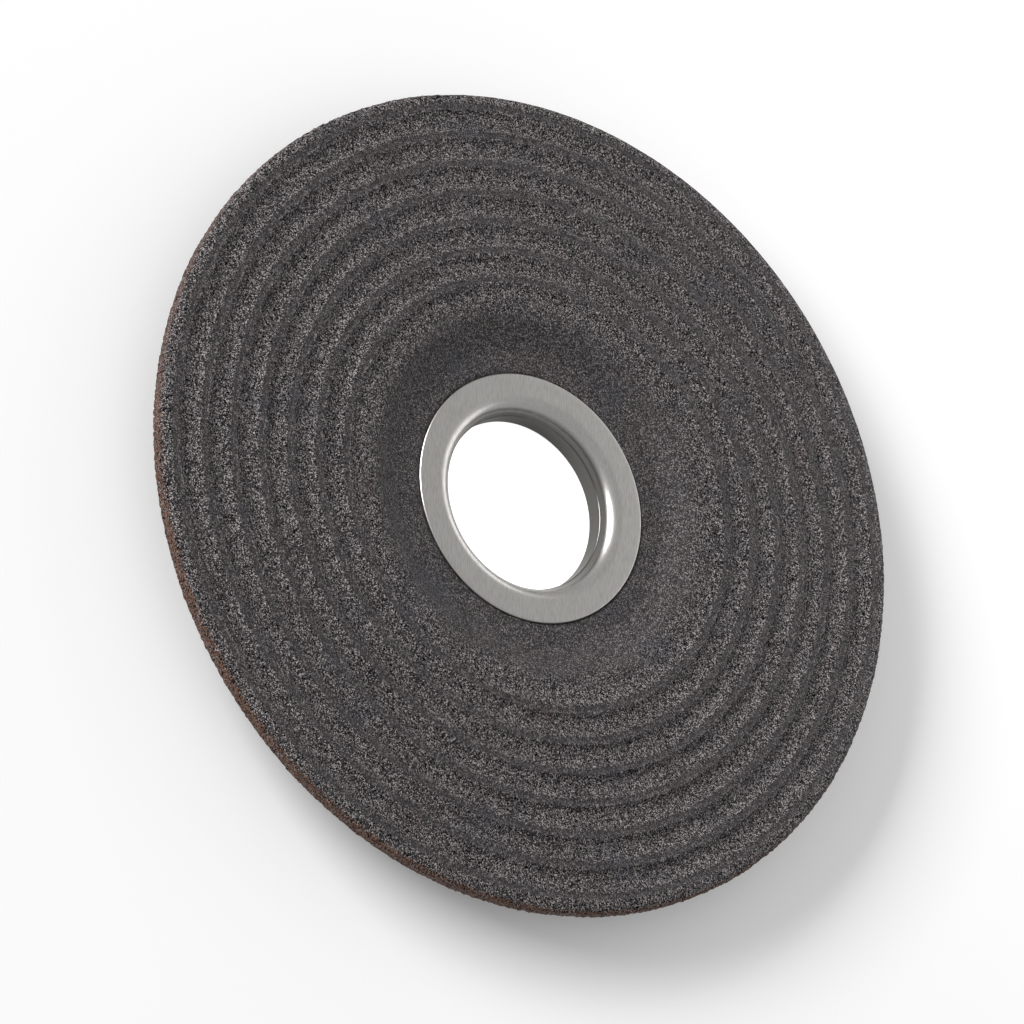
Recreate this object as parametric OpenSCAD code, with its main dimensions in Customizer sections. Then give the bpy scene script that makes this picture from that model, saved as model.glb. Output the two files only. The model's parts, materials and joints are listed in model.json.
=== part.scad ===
/* [Disc] */
// Outer diameter of the disc
disc_d = 105; // [102:0.5:125]
// Height from the back of the hub up to the ridge crests
crest_h = 6.9; // [6:0.1:9]
// Thickness of the rim
rim_t = 1.7; // [1.2:0.1:2.2]
// Radius that rounds both corners of the rim
rim_round_r = 0.35; // [0.1:0.05:0.42]
// Drop from the outermost crest to the top of the rim
rim_drop = 0.4; // [0.2:0.05:0.9]
// Distance from the outermost crest to the edge of the disc
crest_inset = 2.25; // [1.6:0.05:3.5]

/* [Ridges] */
// Distance from one crest to the next
ridge_pitch = 3.8; // [3.2:0.1:3.9]
// Depth of the valleys below the crests
ridge_depth = 0.42; // [0.2:0.02:0.6]
// Reach of a ridge's slope towards the hub, from the crest
ridge_inner_w = 1.7; // [1:0.05:1.9]
// Reach of a ridge's slope towards the rim, from the crest
ridge_outer_w = 1.4; // [0.9:0.05:1.6]
// Where a ridge's slope is steepest, where less than 1 is nearer the crest than the foot
flank_bias = 0.75; // [0.6:0.05:1.2]
// Width of the shallow groove that runs along each crest
groove_w = 0.84; // [0.4:0.04:1.2]
// Depth of the groove along each crest
groove_depth = 0.06; // [0.02:0.01:0.15]

/* [Hub] */
// Thickness of the hub under the floor of the recess
hub_t = 4.4; // [3.8:0.05:5]
// Diameter of the flat floor of the recess
recess_floor_d = 36.6; // [34:0.2:40]
// Diameter of the mouth of the recess
recess_mouth_d = 48; // [45:0.5:50]
// Diameter of the flat back of the hub
hub_back_d = 39.6; // [36:0.2:44]
// Diameter where the slope of the hub meets the back of the web
hub_slope_d = 51; // [48:0.5:60]

/* [Arbor ring] */
// Diameter of the arbor bore
bore_d = 22.23; // [20:0.01:22.23]
// Thickness of the ring's sheet steel
sheet_t = 0.45; // [0.3:0.05:0.6]
// Diameter of the ring's flange
flange_d = 32; // [29.5:0.1:33]
// Radius of the bend from the flange into the bore
bend_r = 2; // [1:0.1:2.3]
// Height and depth of the step from the bend to the sized land of the bore
land_step = 0.12; // [0.05:0.01:0.2]
// Height of the flange above the floor of the recess
flange_proud = 0.25; // [0.1:0.05:0.3]
// Radius of the rounded upper edge of the flange
flange_round_r = 0.25; // [0.1:0.05:0.28]
// Gap around the flange in its seat
seat_gap = 0.1; // [0.05:0.01:0.3]
// Distance of the barrel's end above the back of the hub
barrel_lift = 0.15; // [0.05:0.05:0.5]

/* [Hidden] */
$fn = 96;

disc_r = disc_d / 2;
bore_r = bore_d / 2;
flange_r = flange_d / 2;
recess_floor_r = recess_floor_d / 2;
recess_mouth_r = recess_mouth_d / 2;
hub_back_r = hub_back_d / 2;
hub_slope_r = hub_slope_d / 2;

valley_h = crest_h - ridge_depth;
rim_top_h = crest_h - rim_drop;
web_back_h = rim_top_h - rim_t;
last_crest_r = disc_r - crest_inset;
// As many ridges as fit between the mouth of the recess and the rim
ridge_count = 1 + floor((last_crest_r - ridge_inner_w - recess_mouth_r) / ridge_pitch);
first_crest_r = last_crest_r - (ridge_count - 1) * ridge_pitch;
lip_w = groove_w / 2;
// Steepness of the face where it meets the rounded corner of the rim
rim_fall_angle = 25;

// The flange rests on a seat that is sunk into the floor of the recess
flange_top_h = hub_t + flange_proud;
seat_h = flange_top_h - sheet_t;
seat_r = flange_r + seat_gap;
inner_bend_r = bend_r - sheet_t;
barrel_r = bore_r + land_step + sheet_t;
// The corner of the disc's bore is rounder than the inside of the bend, and clears it
corner_play = 0.15;
bore_corner_r = inner_bend_r + corner_play;
barrel_end_r = sheet_t / 3;

arc_steps = 5;
hub_steps = 8;
flank_steps = 4;
edge_steps = 4;

// Points along an arc of radius r about [x, y], from angle a to angle b
function arc(x, y, r, a, b) =
    [for (i = [0:arc_steps])
        let (t = a + (b - a) * i / arc_steps) [x + r * cos(t), y + r * sin(t)]];

// A slope that starts and ends level, from [x0, y0] to [x1, y1]
function slope(x0, y0, x1, y1, steps) =
    [for (i = [0:steps])
        let (t = i / steps)
            [x0 + (x1 - x0) * t, y0 + (y1 - y0) * (1 - cos(180 * t)) / 2]];

// A point of a ridge's slope, at share t of the way from the lip of its crest to its foot
function flank_point(c, side, reach, t) =
    [c + side * (lip_w + (reach - lip_w) * t),
        crest_h - ridge_depth * (1 - cos(180 * pow(t, flank_bias))) / 2];

// The side of a ridge that rises towards its crest at radius c, and the groove in the crest
function inner_side(c) =
    concat([for (i = [flank_steps:-1:0]) flank_point(c, -1, ridge_inner_w, i / flank_steps)],
        [[c, crest_h - groove_depth]]);

// The side of a ridge that falls towards the next valley
function outer_side(c) =
    [for (i = [0:flank_steps]) flank_point(c, 1, ridge_outer_w, i / flank_steps)];

// The whole ridged face, where the falling edge takes the place of the last outer side
function ridged_face() =
    [for (i = [0:ridge_count - 1])
        let (c = first_crest_r + i * ridge_pitch)
            each concat(inner_side(c), i < ridge_count - 1 ? outer_side(c) : [])];

// The face falls away from the outermost ridge, ever more steeply, to the corner of the rim
function falling_edge() =
    let (
        start = last_crest_r + lip_w,
        run = disc_r - rim_round_r * (1 - sin(rim_fall_angle)) - start,
        drop = rim_drop + rim_round_r * (1 - cos(rim_fall_angle))
    )
        [for (i = [0:edge_steps - 1])
            let (t = i / edge_steps)
                [start + run * t, crest_h - drop * (1 - cos(90 * t))]];

// One moulded piece: thick hub, recess for the clamp nut, thin web with ridges, rounded rim
module abrasive_disc() {
    color([0.27, 0.26, 0.27])
        rotate_extrude()
            polygon(concat(
                arc(barrel_r + bore_corner_r, seat_h - bore_corner_r, bore_corner_r, 180, 90),
                [[seat_r, seat_h], [seat_r, hub_t]],
                slope(recess_floor_r, hub_t, recess_mouth_r, valley_h, hub_steps),
                ridged_face(),
                falling_edge(),
                arc(disc_r - rim_round_r, rim_top_h - rim_round_r, rim_round_r, 90 - rim_fall_angle, 0),
                arc(disc_r - rim_round_r, web_back_h + rim_round_r, rim_round_r, 0, -90),
                slope(hub_slope_r, web_back_h, hub_back_r, 0, hub_steps),
                [[barrel_r, 0]]
            ));
}

// One drawn steel piece: flange on the floor of the recess, bend, and barrel down the bore
module arbor_ring() {
    bend_x = bore_r + land_step + bend_r;
    bend_y = flange_top_h - bend_r;
    color([0.66, 0.65, 0.63])
        rotate_extrude()
            polygon(concat(
                [[bore_r, bend_y - land_step]],
                arc(bend_x, bend_y, bend_r, 180, 90),
                arc(flange_r - flange_round_r, flange_top_h - flange_round_r,
                    flange_round_r, 90, 0),
                [[flange_r, seat_h]],
                arc(bend_x, bend_y, inner_bend_r, 90, 180),
                [[barrel_r, barrel_lift]],
                arc(bore_r + barrel_end_r, barrel_lift + barrel_end_r, barrel_end_r, 270, 180)
            ));
}

abrasive_disc();
arbor_ring();
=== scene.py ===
import json
import math

import bpy
import numpy as np
from mathutils import Matrix, Vector, noise


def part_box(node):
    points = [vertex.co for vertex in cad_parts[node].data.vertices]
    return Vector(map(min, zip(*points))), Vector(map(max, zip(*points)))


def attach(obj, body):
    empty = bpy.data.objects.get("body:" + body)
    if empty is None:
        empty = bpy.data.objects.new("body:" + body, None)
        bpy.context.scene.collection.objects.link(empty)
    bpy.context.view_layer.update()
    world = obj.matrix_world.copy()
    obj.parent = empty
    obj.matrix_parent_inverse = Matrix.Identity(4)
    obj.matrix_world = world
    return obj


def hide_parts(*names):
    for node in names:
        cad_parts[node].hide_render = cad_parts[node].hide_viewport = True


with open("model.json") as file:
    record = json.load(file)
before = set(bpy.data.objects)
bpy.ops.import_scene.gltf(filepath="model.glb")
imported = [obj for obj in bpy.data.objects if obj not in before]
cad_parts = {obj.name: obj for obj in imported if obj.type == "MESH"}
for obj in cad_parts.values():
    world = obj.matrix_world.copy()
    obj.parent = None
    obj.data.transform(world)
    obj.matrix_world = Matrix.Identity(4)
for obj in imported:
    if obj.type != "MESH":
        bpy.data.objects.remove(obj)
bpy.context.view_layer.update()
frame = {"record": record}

mm = 0.001
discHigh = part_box("abrasive_disc")[1]
ringLow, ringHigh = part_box("arbor_ring")
mounts = {m["name"]: m for m in frame["record"]["mounts"]}
boreR = mounts["arbor_bore"]["dims"]["r_mm"]


# A socket that carries one number over a surface, so that masks read as sums
class Wire:
    def __init__(self, finish, socket):
        self.finish, self.socket = finish, socket

    def calc(self, operation, *others):
        values = {i: other for i, other in enumerate((self,) + others)}
        return self.finish.node("ShaderNodeMath", {"operation": operation}, values)

    def __add__(self, other):
        return self.calc("ADD", other)

    def __sub__(self, other):
        return self.calc("SUBTRACT", other)

    def __rsub__(self, other):
        return self.finish.node("ShaderNodeMath", {"operation": "SUBTRACT"}, {0: other, 1: self})

    def __mul__(self, other):
        return self.calc("MULTIPLY", other)

    __radd__ = __add__
    __rmul__ = __mul__

    def clamped(self):
        return self.finish.node("ShaderNodeClamp", {}, {0: self})

    # 0 below low, 1 above high, and smooth between
    def step(self, low, high):
        settings = {"interpolation_type": "SMOOTHSTEP"}
        return self.finish.node("ShaderNodeMapRange", settings, {0: self, 1: low, 2: high})


# One material and its nodes
class Finish:
    def __init__(self, name):
        self.material = bpy.data.materials.new(name)
        self.material.use_nodes = True
        self.tree = self.material.node_tree
        self.tree.nodes.clear()
        self.output = self.tree.nodes.new("ShaderNodeOutputMaterial")
        self.place = self.node("ShaderNodeTexCoord", {}, {}, "Object")

    def node(self, kind, settings, values, result=0):
        made = self.tree.nodes.new(kind)
        for name, value in settings.items():
            setattr(made, name, value)
        for key, value in values.items():
            if isinstance(value, Wire):
                self.tree.links.new(value.socket, made.inputs[key])
            else:
                made.inputs[key].default_value = value
        return Wire(self, made.outputs[result])

    def blend(self, factor, colourA, colourB):
        return self.node("ShaderNodeMix", {"data_type": "RGBA"}, {0: factor, 6: colourA, 7: colourB}, 2)

    # Noise from 0 to 1 in lumps of a size in mm
    def grain(self, size, detail, rough, place=None):
        values = {"Vector": place or self.place, "Scale": 1 / (size * mm),
                  "Detail": detail, "Roughness": rough}
        return self.node("ShaderNodeTexNoise", {}, values)

    def cells(self, size, result):
        values = {"Vector": self.place, "Scale": 1 / (size * mm)}
        return self.node("ShaderNodeTexVoronoi", {}, values, result)

    def bump(self, height, depth):
        values = {"Height": height, "Distance": depth * mm, "Strength": 1.0}
        return self.node("ShaderNodeBump", {}, values)

    def surface(self, shader):
        self.tree.links.new(shader.socket, self.output.inputs["Surface"])
        return self.material


# Distance from the axis, in mm
def axisRadius(finish):
    flat = finish.node("ShaderNodeVectorMath", {"operation": "MULTIPLY"},
                       {0: finish.place, 1: (1 / mm, 1 / mm, 0)})
    return finish.node("ShaderNodeVectorMath", {"operation": "LENGTH"}, {0: flat}, "Value")


print("disc of bonded grit")

disc = {
    "r": discHigh.x / mm,            # outer radius, mm as all lengths here
    "crestH": discHigh.z / mm,       # back of the hub up to the crests
    "rimT": 1.7,
    "rimRoundR": 0.35,
    "rimDrop": 0.4,
    "rimFall": 25,                   # steepness of the face at the rim's corner, degrees
    "crestInset": 2.25,
    "ridgeCount": 7,
    "ridgePitch": 3.8,
    "ridgeDepth": 0.42,
    "innerW": 1.7,                   # a ridge's reach towards the hub
    "outerW": 1.4,                   # and towards the rim
    "flankBias": 0.7,                # below 1 a slope is steepest near its crest
    "lipW": 0.42,                    # half the width of the groove in a crest
    "grooveDepth": 0.06,
    "hubT": 4.4,
    "floorR": 18.3,
    "mouthR": 24.0,
    "hubBackR": 19.8,
    "slopeR": 25.5,
    "seatH": 4.2,                    # seat that the ring's flange lies in
    "seatR": 16.1,
    "barrelR": 11.685,
    "boreCornerR": 1.7,
    "crestSway": 0.12,               # how far a crest wanders in and out
    "swayOver": (9, 2.5),            # size of the long and of the short wanderings
    "lumps": 0.04,                   # height of the unevenness of the pressed grit
    "lumpsOver": (0.8, 2.3),         # size of the small and of the broad lumps
    "proud": 0.05,                   # no lump stands higher than this over the crests
    "rimChips": 0.2,                 # depth of the notches between grains at the rim
    "chipsOver": (0.45, 8),          # size of a notch, and of the stretches with deeper ones
    "chipReach": 0.7,                # how far in from the rim the notches end
    "offCentre": 0.25,               # how far the rim's circle lies off the bore's axis
    "offCentreTo": -45,              # direction of that, degrees from +X
    "columns": (240, 480, 1440),     # of the mesh, at the hub, on the ridges and at the rim
}
disc["valleyH"] = disc["crestH"] - disc["ridgeDepth"]
disc["rimTopH"] = disc["crestH"] - disc["rimDrop"]
disc["webBackH"] = disc["rimTopH"] - disc["rimT"]
disc["lastCrestR"] = disc["r"] - disc["crestInset"]
disc["firstCrestR"] = disc["lastCrestR"] - (disc["ridgeCount"] - 1) * disc["ridgePitch"]


def arcPoints(x, y, r, a, b, steps):
    return [(x + r * math.cos(t), y + r * math.sin(t))
            for t in np.radians(np.linspace(a, b, steps + 1))]


# A slope that starts and ends level
def slopePoints(x0, y0, x1, y1, steps):
    return [(x0 + (x1 - x0) * t, y0 + (y1 - y0) * (1 - math.cos(math.pi * t)) / 2)
            for t in np.linspace(0, 1, steps + 1)]


# Height of the ridged face at a radius, with a fine groove along each crest
def ridgeHeight(r):
    d = disc
    nearest = round((r - d["firstCrestR"]) / d["ridgePitch"])
    nearest = min(max(nearest, 0), d["ridgeCount"] - 1)
    away = r - d["firstCrestR"] - nearest * d["ridgePitch"]
    if abs(away) < d["lipW"]:
        return d["crestH"] - d["grooveDepth"] * (1 + math.cos(math.pi * away / d["lipW"])) / 2
    reach = d["outerW"] if away > 0 else d["innerW"]
    t = min(1, (abs(away) - d["lipW"]) / (reach - d["lipW"]))
    return d["crestH"] - d["ridgeDepth"] * (1 - math.cos(math.pi * t ** d["flankBias"])) / 2


# Rows of the revolved mesh: radius, height, and how many columns go round
def discRows():
    d = disc
    few, many, most = d["columns"]
    rows = []

    def add(points, columns):
        rows.extend((r, h, columns) for r, h in points)

    # Corner of the bore, seat of the ring, floor and wall of the recess
    add(arcPoints(d["barrelR"] + d["boreCornerR"], d["seatH"] - d["boreCornerR"],
                  d["boreCornerR"], 180, 90, 5), few)
    add([(d["seatR"], d["seatH"])], few)
    add([(r, d["hubT"]) for r in np.linspace(d["seatR"], d["floorR"], 5)[:-1]], few)
    add(slopePoints(d["floorR"], d["hubT"], d["mouthR"], d["valleyH"], 16), few)

    # Ridges, of which the last one has no outer side
    steps = list(np.linspace(-d["innerW"], -d["lipW"], 9)) + [-d["lipW"] / 2, 0, d["lipW"] / 2]
    steps += list(np.linspace(d["lipW"], d["outerW"], 7))
    for i in range(d["ridgeCount"]):
        crestR = d["firstCrestR"] + i * d["ridgePitch"]
        last = i == d["ridgeCount"] - 1
        add([(crestR + away, ridgeHeight(crestR + away))
             for away in steps if not (last and away > d["lipW"] / 2)], many)

    # The edge that falls from the last crest to the corner of the rim
    fall = math.radians(d["rimFall"])
    start = d["lastCrestR"] + d["lipW"]
    run = d["r"] - d["rimRoundR"] * (1 - math.sin(fall)) - start
    drop = d["rimDrop"] + d["rimRoundR"] * (1 - math.cos(fall))
    for t in (0, 0.2, 0.4, 0.55, 0.7, 0.85):
        add([(start + run * t, d["crestH"] - drop * (1 - math.cos(math.pi / 2 * t)))],
            many if t < 0.5 else most)

    # Rim, with two rows in its flat middle and one past the reach of its notches
    add(arcPoints(d["r"] - d["rimRoundR"], d["rimTopH"] - d["rimRoundR"],
                  d["rimRoundR"], 90 - d["rimFall"], 0, 2), most)
    add([(d["r"], d["rimTopH"] - d["rimT"] * t) for t in (0.42, 0.58)], most)
    add(arcPoints(d["r"] - d["rimRoundR"], d["webBackH"] + d["rimRoundR"],
                  d["rimRoundR"], 0, -90, 3), most)
    add([(d["r"] - 0.8, d["webBackH"])], most)

    # Back of the web, slope of the hub and its flat back
    add([(r, d["webBackH"]) for r in np.linspace(d["r"] - 1.6, d["slopeR"] + 2, 12)], many)
    add(slopePoints(d["slopeR"], d["webBackH"], d["hubBackR"], 0, 10), few)
    add([(r, 0) for r in np.linspace(d["hubBackR"], d["barrelR"], 5)[1:]], few)
    return rows


# From -1 to 1, in lumps of a size in mm, and with another pattern on each layer
def unevenness(x, y, size, layer):
    return noise.noise(Vector((x / size, y / size, layer)))


# Where a point of the pressed disc really ends up
def pressed(r, h, angle):
    d = disc
    x, y = r * math.cos(angle), r * math.sin(angle)
    onFace = r > d["floorR"] and h > d["webBackH"] + 0.1
    if onFace and d["mouthR"] < r < d["lastCrestR"] + 0.9 * d["lipW"]:
        free = max(0, min(1, (d["lastCrestR"] - r) / 2, (r - d["mouthR"]) / 3))
        far, near = d["swayOver"]
        sway = unevenness(x, y, far, 3.1) + 0.5 * unevenness(x, y, near, 9)
        h = ridgeHeight(r + d["crestSway"] * free * sway)
    if onFace:
        free = min(1, max(0, (r - d["floorR"]) / 4))
        small, broad = d["lumpsOver"]
        rough = unevenness(x, y, small, 1.7) + unevenness(x, y, broad, 5)
        h = min(h + d["lumps"] * free * rough, d["crestH"] + d["proud"])
    edge = max(0, 1 - (d["r"] - r) / d["chipReach"])
    if edge > 0:
        small, broad = d["chipsOver"]
        chip = 0.9 * unevenness(x, y, small, h / small) + 0.5 * unevenness(x, y, broad, 0.4)
        r -= edge * d["rimChips"] * (0.7 + chip)
        r -= edge * d["offCentre"] * (1 - math.cos(angle - math.radians(d["offCentreTo"])))
    return r * math.cos(angle), r * math.sin(angle), h


def onCircle(r, h, angle):
    return r * math.cos(angle), r * math.sin(angle), h


# Revolves the rows, and joins a row to one with more columns by fans
def revolve(name, rows, shift):
    points, faces, starts = [], [], []
    for r, h, columns in rows:
        starts.append(len(points))
        for k in range(columns):
            points.append(shift(r, h, 2 * math.pi * k / columns))
    loops = list(zip(starts, [row[2] for row in rows]))
    for (a, countA), (b, countB) in zip(loops, loops[1:] + loops[:1]):
        if countA == countB:
            for k in range(countA):
                n = (k + 1) % countA
                faces.append((a + k, a + n, b + n, b + k))
            continue
        flip = countA > countB
        coarse, fine = (b, a) if flip else (a, b)
        few, times = min(countA, countB), max(countA, countB) // min(countA, countB)
        for k in range(few):
            n = (k + 1) % few
            edge = [fine + (k * times + j) % (few * times) for j in range(times + 1)]
            fan = [(coarse + k, edge[j + 1], edge[j]) for j in range(times // 2)]
            fan += [(coarse + n, edge[j + 1], edge[j]) for j in range(times // 2, times)]
            fan.append((coarse + k, coarse + n, edge[times // 2]))
            faces += [face[::-1] if flip else face for face in fan]
    mesh = bpy.data.meshes.new(name)
    mesh.from_pydata([(x * mm, y * mm, z * mm) for x, y, z in points], [], faces)
    mesh.validate()
    mesh.shade_smooth()
    print("  triangles", sum(len(p.vertices) - 2 for p in mesh.polygons))
    piece = bpy.data.objects.new(name, mesh)
    bpy.context.scene.collection.objects.link(piece)
    return piece


gritDisc = revolve("gritDisc", discRows(), pressed)
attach(gritDisc, "root")
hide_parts("abrasive_disc")


grit = {
    "pit": (0.003, 0.0027, 0.0027, 1),      # painted shade: stands in for the shadows in the pits between the grains
    "dark": (0.011, 0.0095, 0.010, 1),
    "mid": (0.046, 0.040, 0.0415, 1),
    "light": (0.56, 0.51, 0.51, 1),
    "resin": (0.031, 0.027, 0.028, 1),      # where the resin covers the grains
    "blue": (0.040, 0.044, 0.062, 1),
    "rust": (0.075, 0.048, 0.036, 1),
    "rim": (0.140, 0.048, 0.014, 1),
    "grain": 0.11,                          # size of a grain, mm
    "fine": 0.06,                           # and of the specks on it
    "clump": 0.4,                           # and of a clump of grains
    "cloud": 7,                             # and of the clouds of blue and rust
    "relief": 0.13,                         # depth between the grains, mm
    "crestCover": 0.6,                      # how much the resin hides on the crests
    "hubCover": 0.5,                        # and in the recess and on the hub
    "crestRagged": 0.9,                     # unevenness of that cover's edges, mm
    "hubRagged": 5,
    "rimRagged": 1.2,                       # and of the edge of the brown rim
    "blueShare": 0.4,
    "rustShare": 0.35,
}


def gritFinish():
    f = Finish("bonded grit")
    radius = axisRadius(f)
    height = f.node("ShaderNodeSeparateXYZ", {}, {0: f.place}, "Z") * (1 / mm)

    # Resin on the crests, outside the mouth of the recess and on the face only
    away = (radius - disc["firstCrestR"]).calc("PINGPONG", disc["ridgePitch"] / 2)
    uneven = (f.grain(0.8, 3, 0.65) - 0.5) * grit["crestRagged"]
    crest = 1 - (away + uneven).step(disc["lipW"] - 0.2, disc["lipW"] + 0.25)
    crest = crest * radius.step(disc["mouthR"], disc["mouthR"] + 1.5)
    crest = crest * height.step(disc["webBackH"] + 0.5, disc["webBackH"] + 0.9)

    # Resin in the recess and on the hub
    wander = (f.grain(3.5, 2, 0.5) - 0.5) * grit["hubRagged"]
    hub = 1 - (radius + wander).step(disc["mouthR"] - 2.0, disc["mouthR"] + 1.5)
    covered = (crest * grit["crestCover"]).calc("MAXIMUM", hub * grit["hubCover"])

    # Each grain has a shade of its own, from nearly black to pale
    pick = f.node("ShaderNodeSeparateColor", {}, {0: f.cells(grit["grain"], "Color")}, "Red")
    dome = f.cells(grit["grain"], "Distance")
    fine = f.grain(grit["fine"], 2, 0.7)
    clump = f.grain(grit["clump"], 2, 0.6)
    bright = pick * 0.62 + fine * 0.5 + clump * 0.2 - 0.18
    base = f.blend(bright.step(0.34, 0.62), grit["dark"], grit["mid"])
    base = f.blend(bright.step(0.61, 0.80), base, grit["light"])
    base = f.blend(covered, base, grit["resin"])

    # Faint clouds of blue and rust, and brown grains at the rim
    tint = f.grain(grit["cloud"], 3, 0.55)
    base = f.blend(tint.step(0.54, 0.74) * grit["blueShare"], base, grit["blue"])
    base = f.blend((1 - tint).step(0.58, 0.74) * grit["rustShare"], base, grit["rust"])
    ragged = (f.grain(0.5, 3, 0.7) - 0.5) * grit["rimRagged"]
    atRim = (radius + ragged).step(disc["r"] - 0.7, disc["r"] - 0.3)
    stain = f.grain(grit["clump"], 3, 0.75).step(0.36, 0.56)
    base = f.blend(atRim * stain * (0.55 + pick * 0.45), base, grit["rim"])

    # Glossy grains, and painted shade where the grit is darkest: a dull, nearly black shader stands in
    # for the shadows between the grains
    relief = (1 - dome) * 0.6 + fine * 0.5 + clump * 0.6
    grains = f.node("ShaderNodeBsdfPrincipled", {}, {
        "Base Color": base, "Roughness": (0.38 + fine * 0.3).clamped(),
        "Normal": f.bump(relief * (1 - covered * 0.75), grit["relief"]),
        "Specular IOR Level": 0.5})
    paintedShadeShader = f.node("ShaderNodeBsdfPrincipled", {}, {
        "Base Color": grit["pit"], "Roughness": 1.0, "Specular IOR Level": 0.0})
    # Painted shade: where the dark gaps between the grains are put
    paintedShadeMask = (1 - bright.step(0.29, 0.40)) * (1 - covered * 0.9)
    return f.surface(f.node("ShaderNodeMixShader", {}, {0: paintedShadeMask, 1: grains, 2: paintedShadeShader}))


gritDisc.data.materials.append(gritFinish())


print("arbor ring")

ring = {
    "flangeR": ringHigh.x / mm,
    "topH": ringHigh.z / mm,
    "endH": ringLow.z / mm,
    "sheetT": 0.45,
    "bendR": 2.0,
    "landStep": 0.12,        # from the bend down and in to the bore's land
    "landRoundR": 0.03,
    "edgeR": 0.25,
    "columns": 384,
}


def ringRows():
    g = ring
    bendX, bendY = boreR + g["landStep"] + g["bendR"], g["topH"] - g["bendR"]
    landH = bendY - g["landStep"]
    endR = g["sheetT"] / 3
    rows = [(boreR, landH - g["landRoundR"]), (boreR + g["landRoundR"], landH)]
    rows += arcPoints(bendX, bendY, g["bendR"], 180, 90, 30)
    rows += [(r, g["topH"]) for r in np.linspace(bendX, g["flangeR"] - g["edgeR"], 6)[1:-1]]
    rows += arcPoints(g["flangeR"] - g["edgeR"], g["topH"] - g["edgeR"], g["edgeR"], 90, 0, 8)
    rows += [(g["flangeR"], g["topH"] - g["sheetT"])]
    rows += arcPoints(bendX, bendY, g["bendR"] - g["sheetT"], 90, 180, 8)
    rows += [(bendX - g["bendR"] + g["sheetT"], g["endH"])]
    rows += arcPoints(boreR + endR, g["endH"] + endR, endR, 270, 180, 6)
    rows += [(boreR, h) for h in np.linspace(g["endH"] + endR, bendY, 6)[1:-1]]
    return [(r, h, g["columns"]) for r, h in rows]


arborRing = revolve("arborRing", ringRows(), onCircle)
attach(arborRing, "root")
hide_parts("arbor_ring")


steel = {
    "base": (0.70, 0.68, 0.655, 1),
    "streak": (0.56, 0.545, 0.52, 1),
    "land": (0.16, 0.155, 0.145, 1),    # painted shade: the bore's land and the inner bend are darkened to stand in for a dark reflection
    "rough": 0.34,
    "bendRough": 0.30,                  # the bend is smoother than the flange
    "brushAngle": -34.9,                # direction of the streaks, degrees from +X
    "streakW": 0.14,                    # their width, mm
    "stretch": 0.12,                    # their width as a share of their length
    "relief": 0.005,                    # their depth, mm
}


def steelFinish():
    f = Finish("brushed ring steel")
    radius = axisRadius(f)
    along = f.node("ShaderNodeVectorRotate", {"rotation_type": "Z_AXIS"},
                   {"Vector": f.place, "Angle": math.radians(-steel["brushAngle"])})
    drawn = f.node("ShaderNodeVectorMath", {"operation": "MULTIPLY"},
                   {0: along, 1: (steel["stretch"], 1, 1)})
    streaks = f.grain(steel["streakW"], 3, 0.65, drawn)
    cloud = f.grain(2.5, 2, 0.5)
    # Painted shade: the land and the inner part of the bend are darkened, standing in for a dark
    # reflection in the steel
    boreShade = 1 - radius.step(boreR + ring["landStep"], boreR + 0.8)
    onBend = 1 - radius.step(boreR + ring["bendR"] - 0.5, boreR + ring["bendR"] + 0.3)
    base = f.blend(streaks.step(0.35, 0.7), steel["base"], steel["streak"])
    base = f.blend(boreShade, base, steel["land"])
    satin = steel["rough"] - onBend * (steel["rough"] - steel["bendRough"])
    roughness = (satin + (streaks - 0.5) * 0.14 + (cloud - 0.5) * 0.08).clamped()
    return f.surface(f.node("ShaderNodeBsdfPrincipled", {}, {
        "Base Color": base, "Metallic": 1.0, "Roughness": roughness,
        "Normal": f.bump(streaks, steel["relief"])}))


arborRing.data.materials.append(steelFinish())


print("floor, light and camera")

studio = {
    "floorSize": 6,          # metres
    "floorColour": (0.93, 0.93, 0.93, 1),
    "floorGlow": 0.12,
    "boreGlow": 1.0,         # keeps the floor white in the shade of the bore
    "worldLight": 0.42,
    "keyFrom": (-0.765, -0.407, 0.36),   # the lamp's direction from the disc
    "keyAt": 2.0,            # metres from the disc
    "keySize": (1.4, 0.6),   # along the horizon, and upwards
    "keyPower": 50,
    "fillFrom": (0.25, 0.95, 0.34),
    "fillAt": 0.2,
    "fillSize": (0.22, 0.12),
    "fillPower": 0.09,
}


# The camera and glossy surfaces see the floor whiter than its light makes it
def floorFinish():
    f = Finish("pale floor")
    seen = f.node("ShaderNodeLightPath", {}, {}, "Is Camera Ray")
    mirrored = f.node("ShaderNodeLightPath", {}, {}, "Is Glossy Ray")
    boreShade = 1 - axisRadius(f).step(boreR - 0.2, boreR + 0.5)
    shader = f.node("ShaderNodeBsdfDiffuse", {}, {"Color": studio["floorColour"]})
    glows = ((seen.calc("MAXIMUM", mirrored), "floorGlow"), (seen * boreShade, "boreGlow"))
    for mask, name in glows:
        glow = f.node("ShaderNodeEmission", {}, {"Strength": studio[name]})
        lit = f.node("ShaderNodeAddShader", {}, {0: shader, 1: glow})
        shader = f.node("ShaderNodeMixShader", {}, {0: mask, 1: shader, 2: lit})
    return f.surface(shader)


bpy.ops.mesh.primitive_plane_add(size=studio["floorSize"])
floor = bpy.context.object
floor.name = "floor"
floor.data.materials.append(floorFinish())

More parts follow.
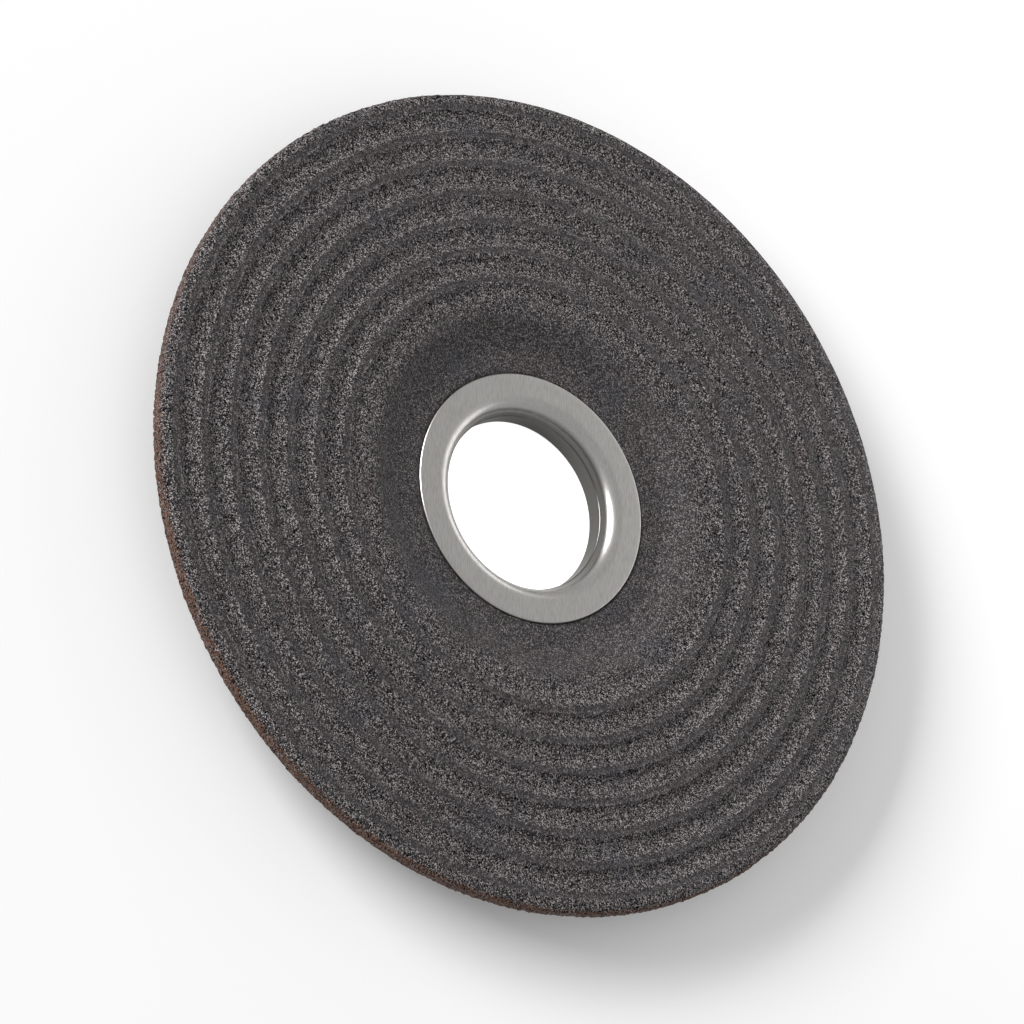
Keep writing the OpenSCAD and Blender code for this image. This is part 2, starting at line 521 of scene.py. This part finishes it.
world = bpy.data.worlds.new("studio")
bpy.context.scene.world = world
world.use_nodes = True
world.node_tree.nodes["Background"].inputs["Color"].default_value = (1, 1, 1, 1)
world.node_tree.nodes["Background"].inputs["Strength"].default_value = studio["worldLight"]


def addLamp(name, direction, distance, size, power):
    light = bpy.data.lights.new(name, "AREA")
    light.shape, light.size, light.size_y, light.energy = "RECTANGLE", *size, power
    lamp = bpy.data.objects.new(name, light)
    bpy.context.scene.collection.objects.link(lamp)
    away = Vector(direction).normalized()
    lamp.location = away * distance
    lamp.rotation_euler = away.to_track_quat("Z", "Y").to_euler()


for lamp in ("key", "fill"):
    addLamp(lamp, *(studio[lamp + part] for part in ("From", "At", "Size", "Power")))

view = {
    "tilt": 37.41,           # degrees between the view and the disc's axis
    "roll": 28.98,           # degrees that the axis leans over the picture's horizontal
    "distance": 503.1,       # mm from the lens to the centre of the crests
    "scale": 8.226,          # pixels for each mm at that distance
    "centre": (542.7, 491.6),    # where that centre comes in the picture, pixels
    "picture": 1024,
    "sensor": 36.0,
}


def addCamera():
    tilt, roll = math.radians(view["tilt"]), math.radians(view["roll"])
    toLens = Vector((0, -math.sin(tilt), math.cos(tilt)))
    uphill = Vector((0, math.cos(tilt), math.sin(tilt)))
    side = Vector((1, 0, 0))
    right = uphill * math.cos(roll) + side * math.sin(roll)
    up = uphill * math.sin(roll) - side * math.cos(roll)
    middle = view["picture"] / 2
    across = (view["centre"][0] - middle) / view["scale"]
    down = (view["centre"][1] - middle) / view["scale"]
    place = Vector((0, 0, disc["crestH"])) - right * across + up * down + toLens * view["distance"]
    data = bpy.data.cameras.new("camera")
    data.sensor_width = view["sensor"]
    data.lens = view["scale"] * view["distance"] * view["sensor"] / view["picture"]
    data.clip_start, data.clip_end = 0.01, 20
    camera = bpy.data.objects.new("camera", data)
    bpy.context.scene.collection.objects.link(camera)
    turn = Matrix((right, up, toLens)).transposed().to_4x4()
    camera.matrix_world = Matrix.Translation(place * mm) @ turn
    bpy.context.scene.camera = camera


addCamera()
bpy.context.scene.view_settings.view_transform = "Standard"

print("finishing")
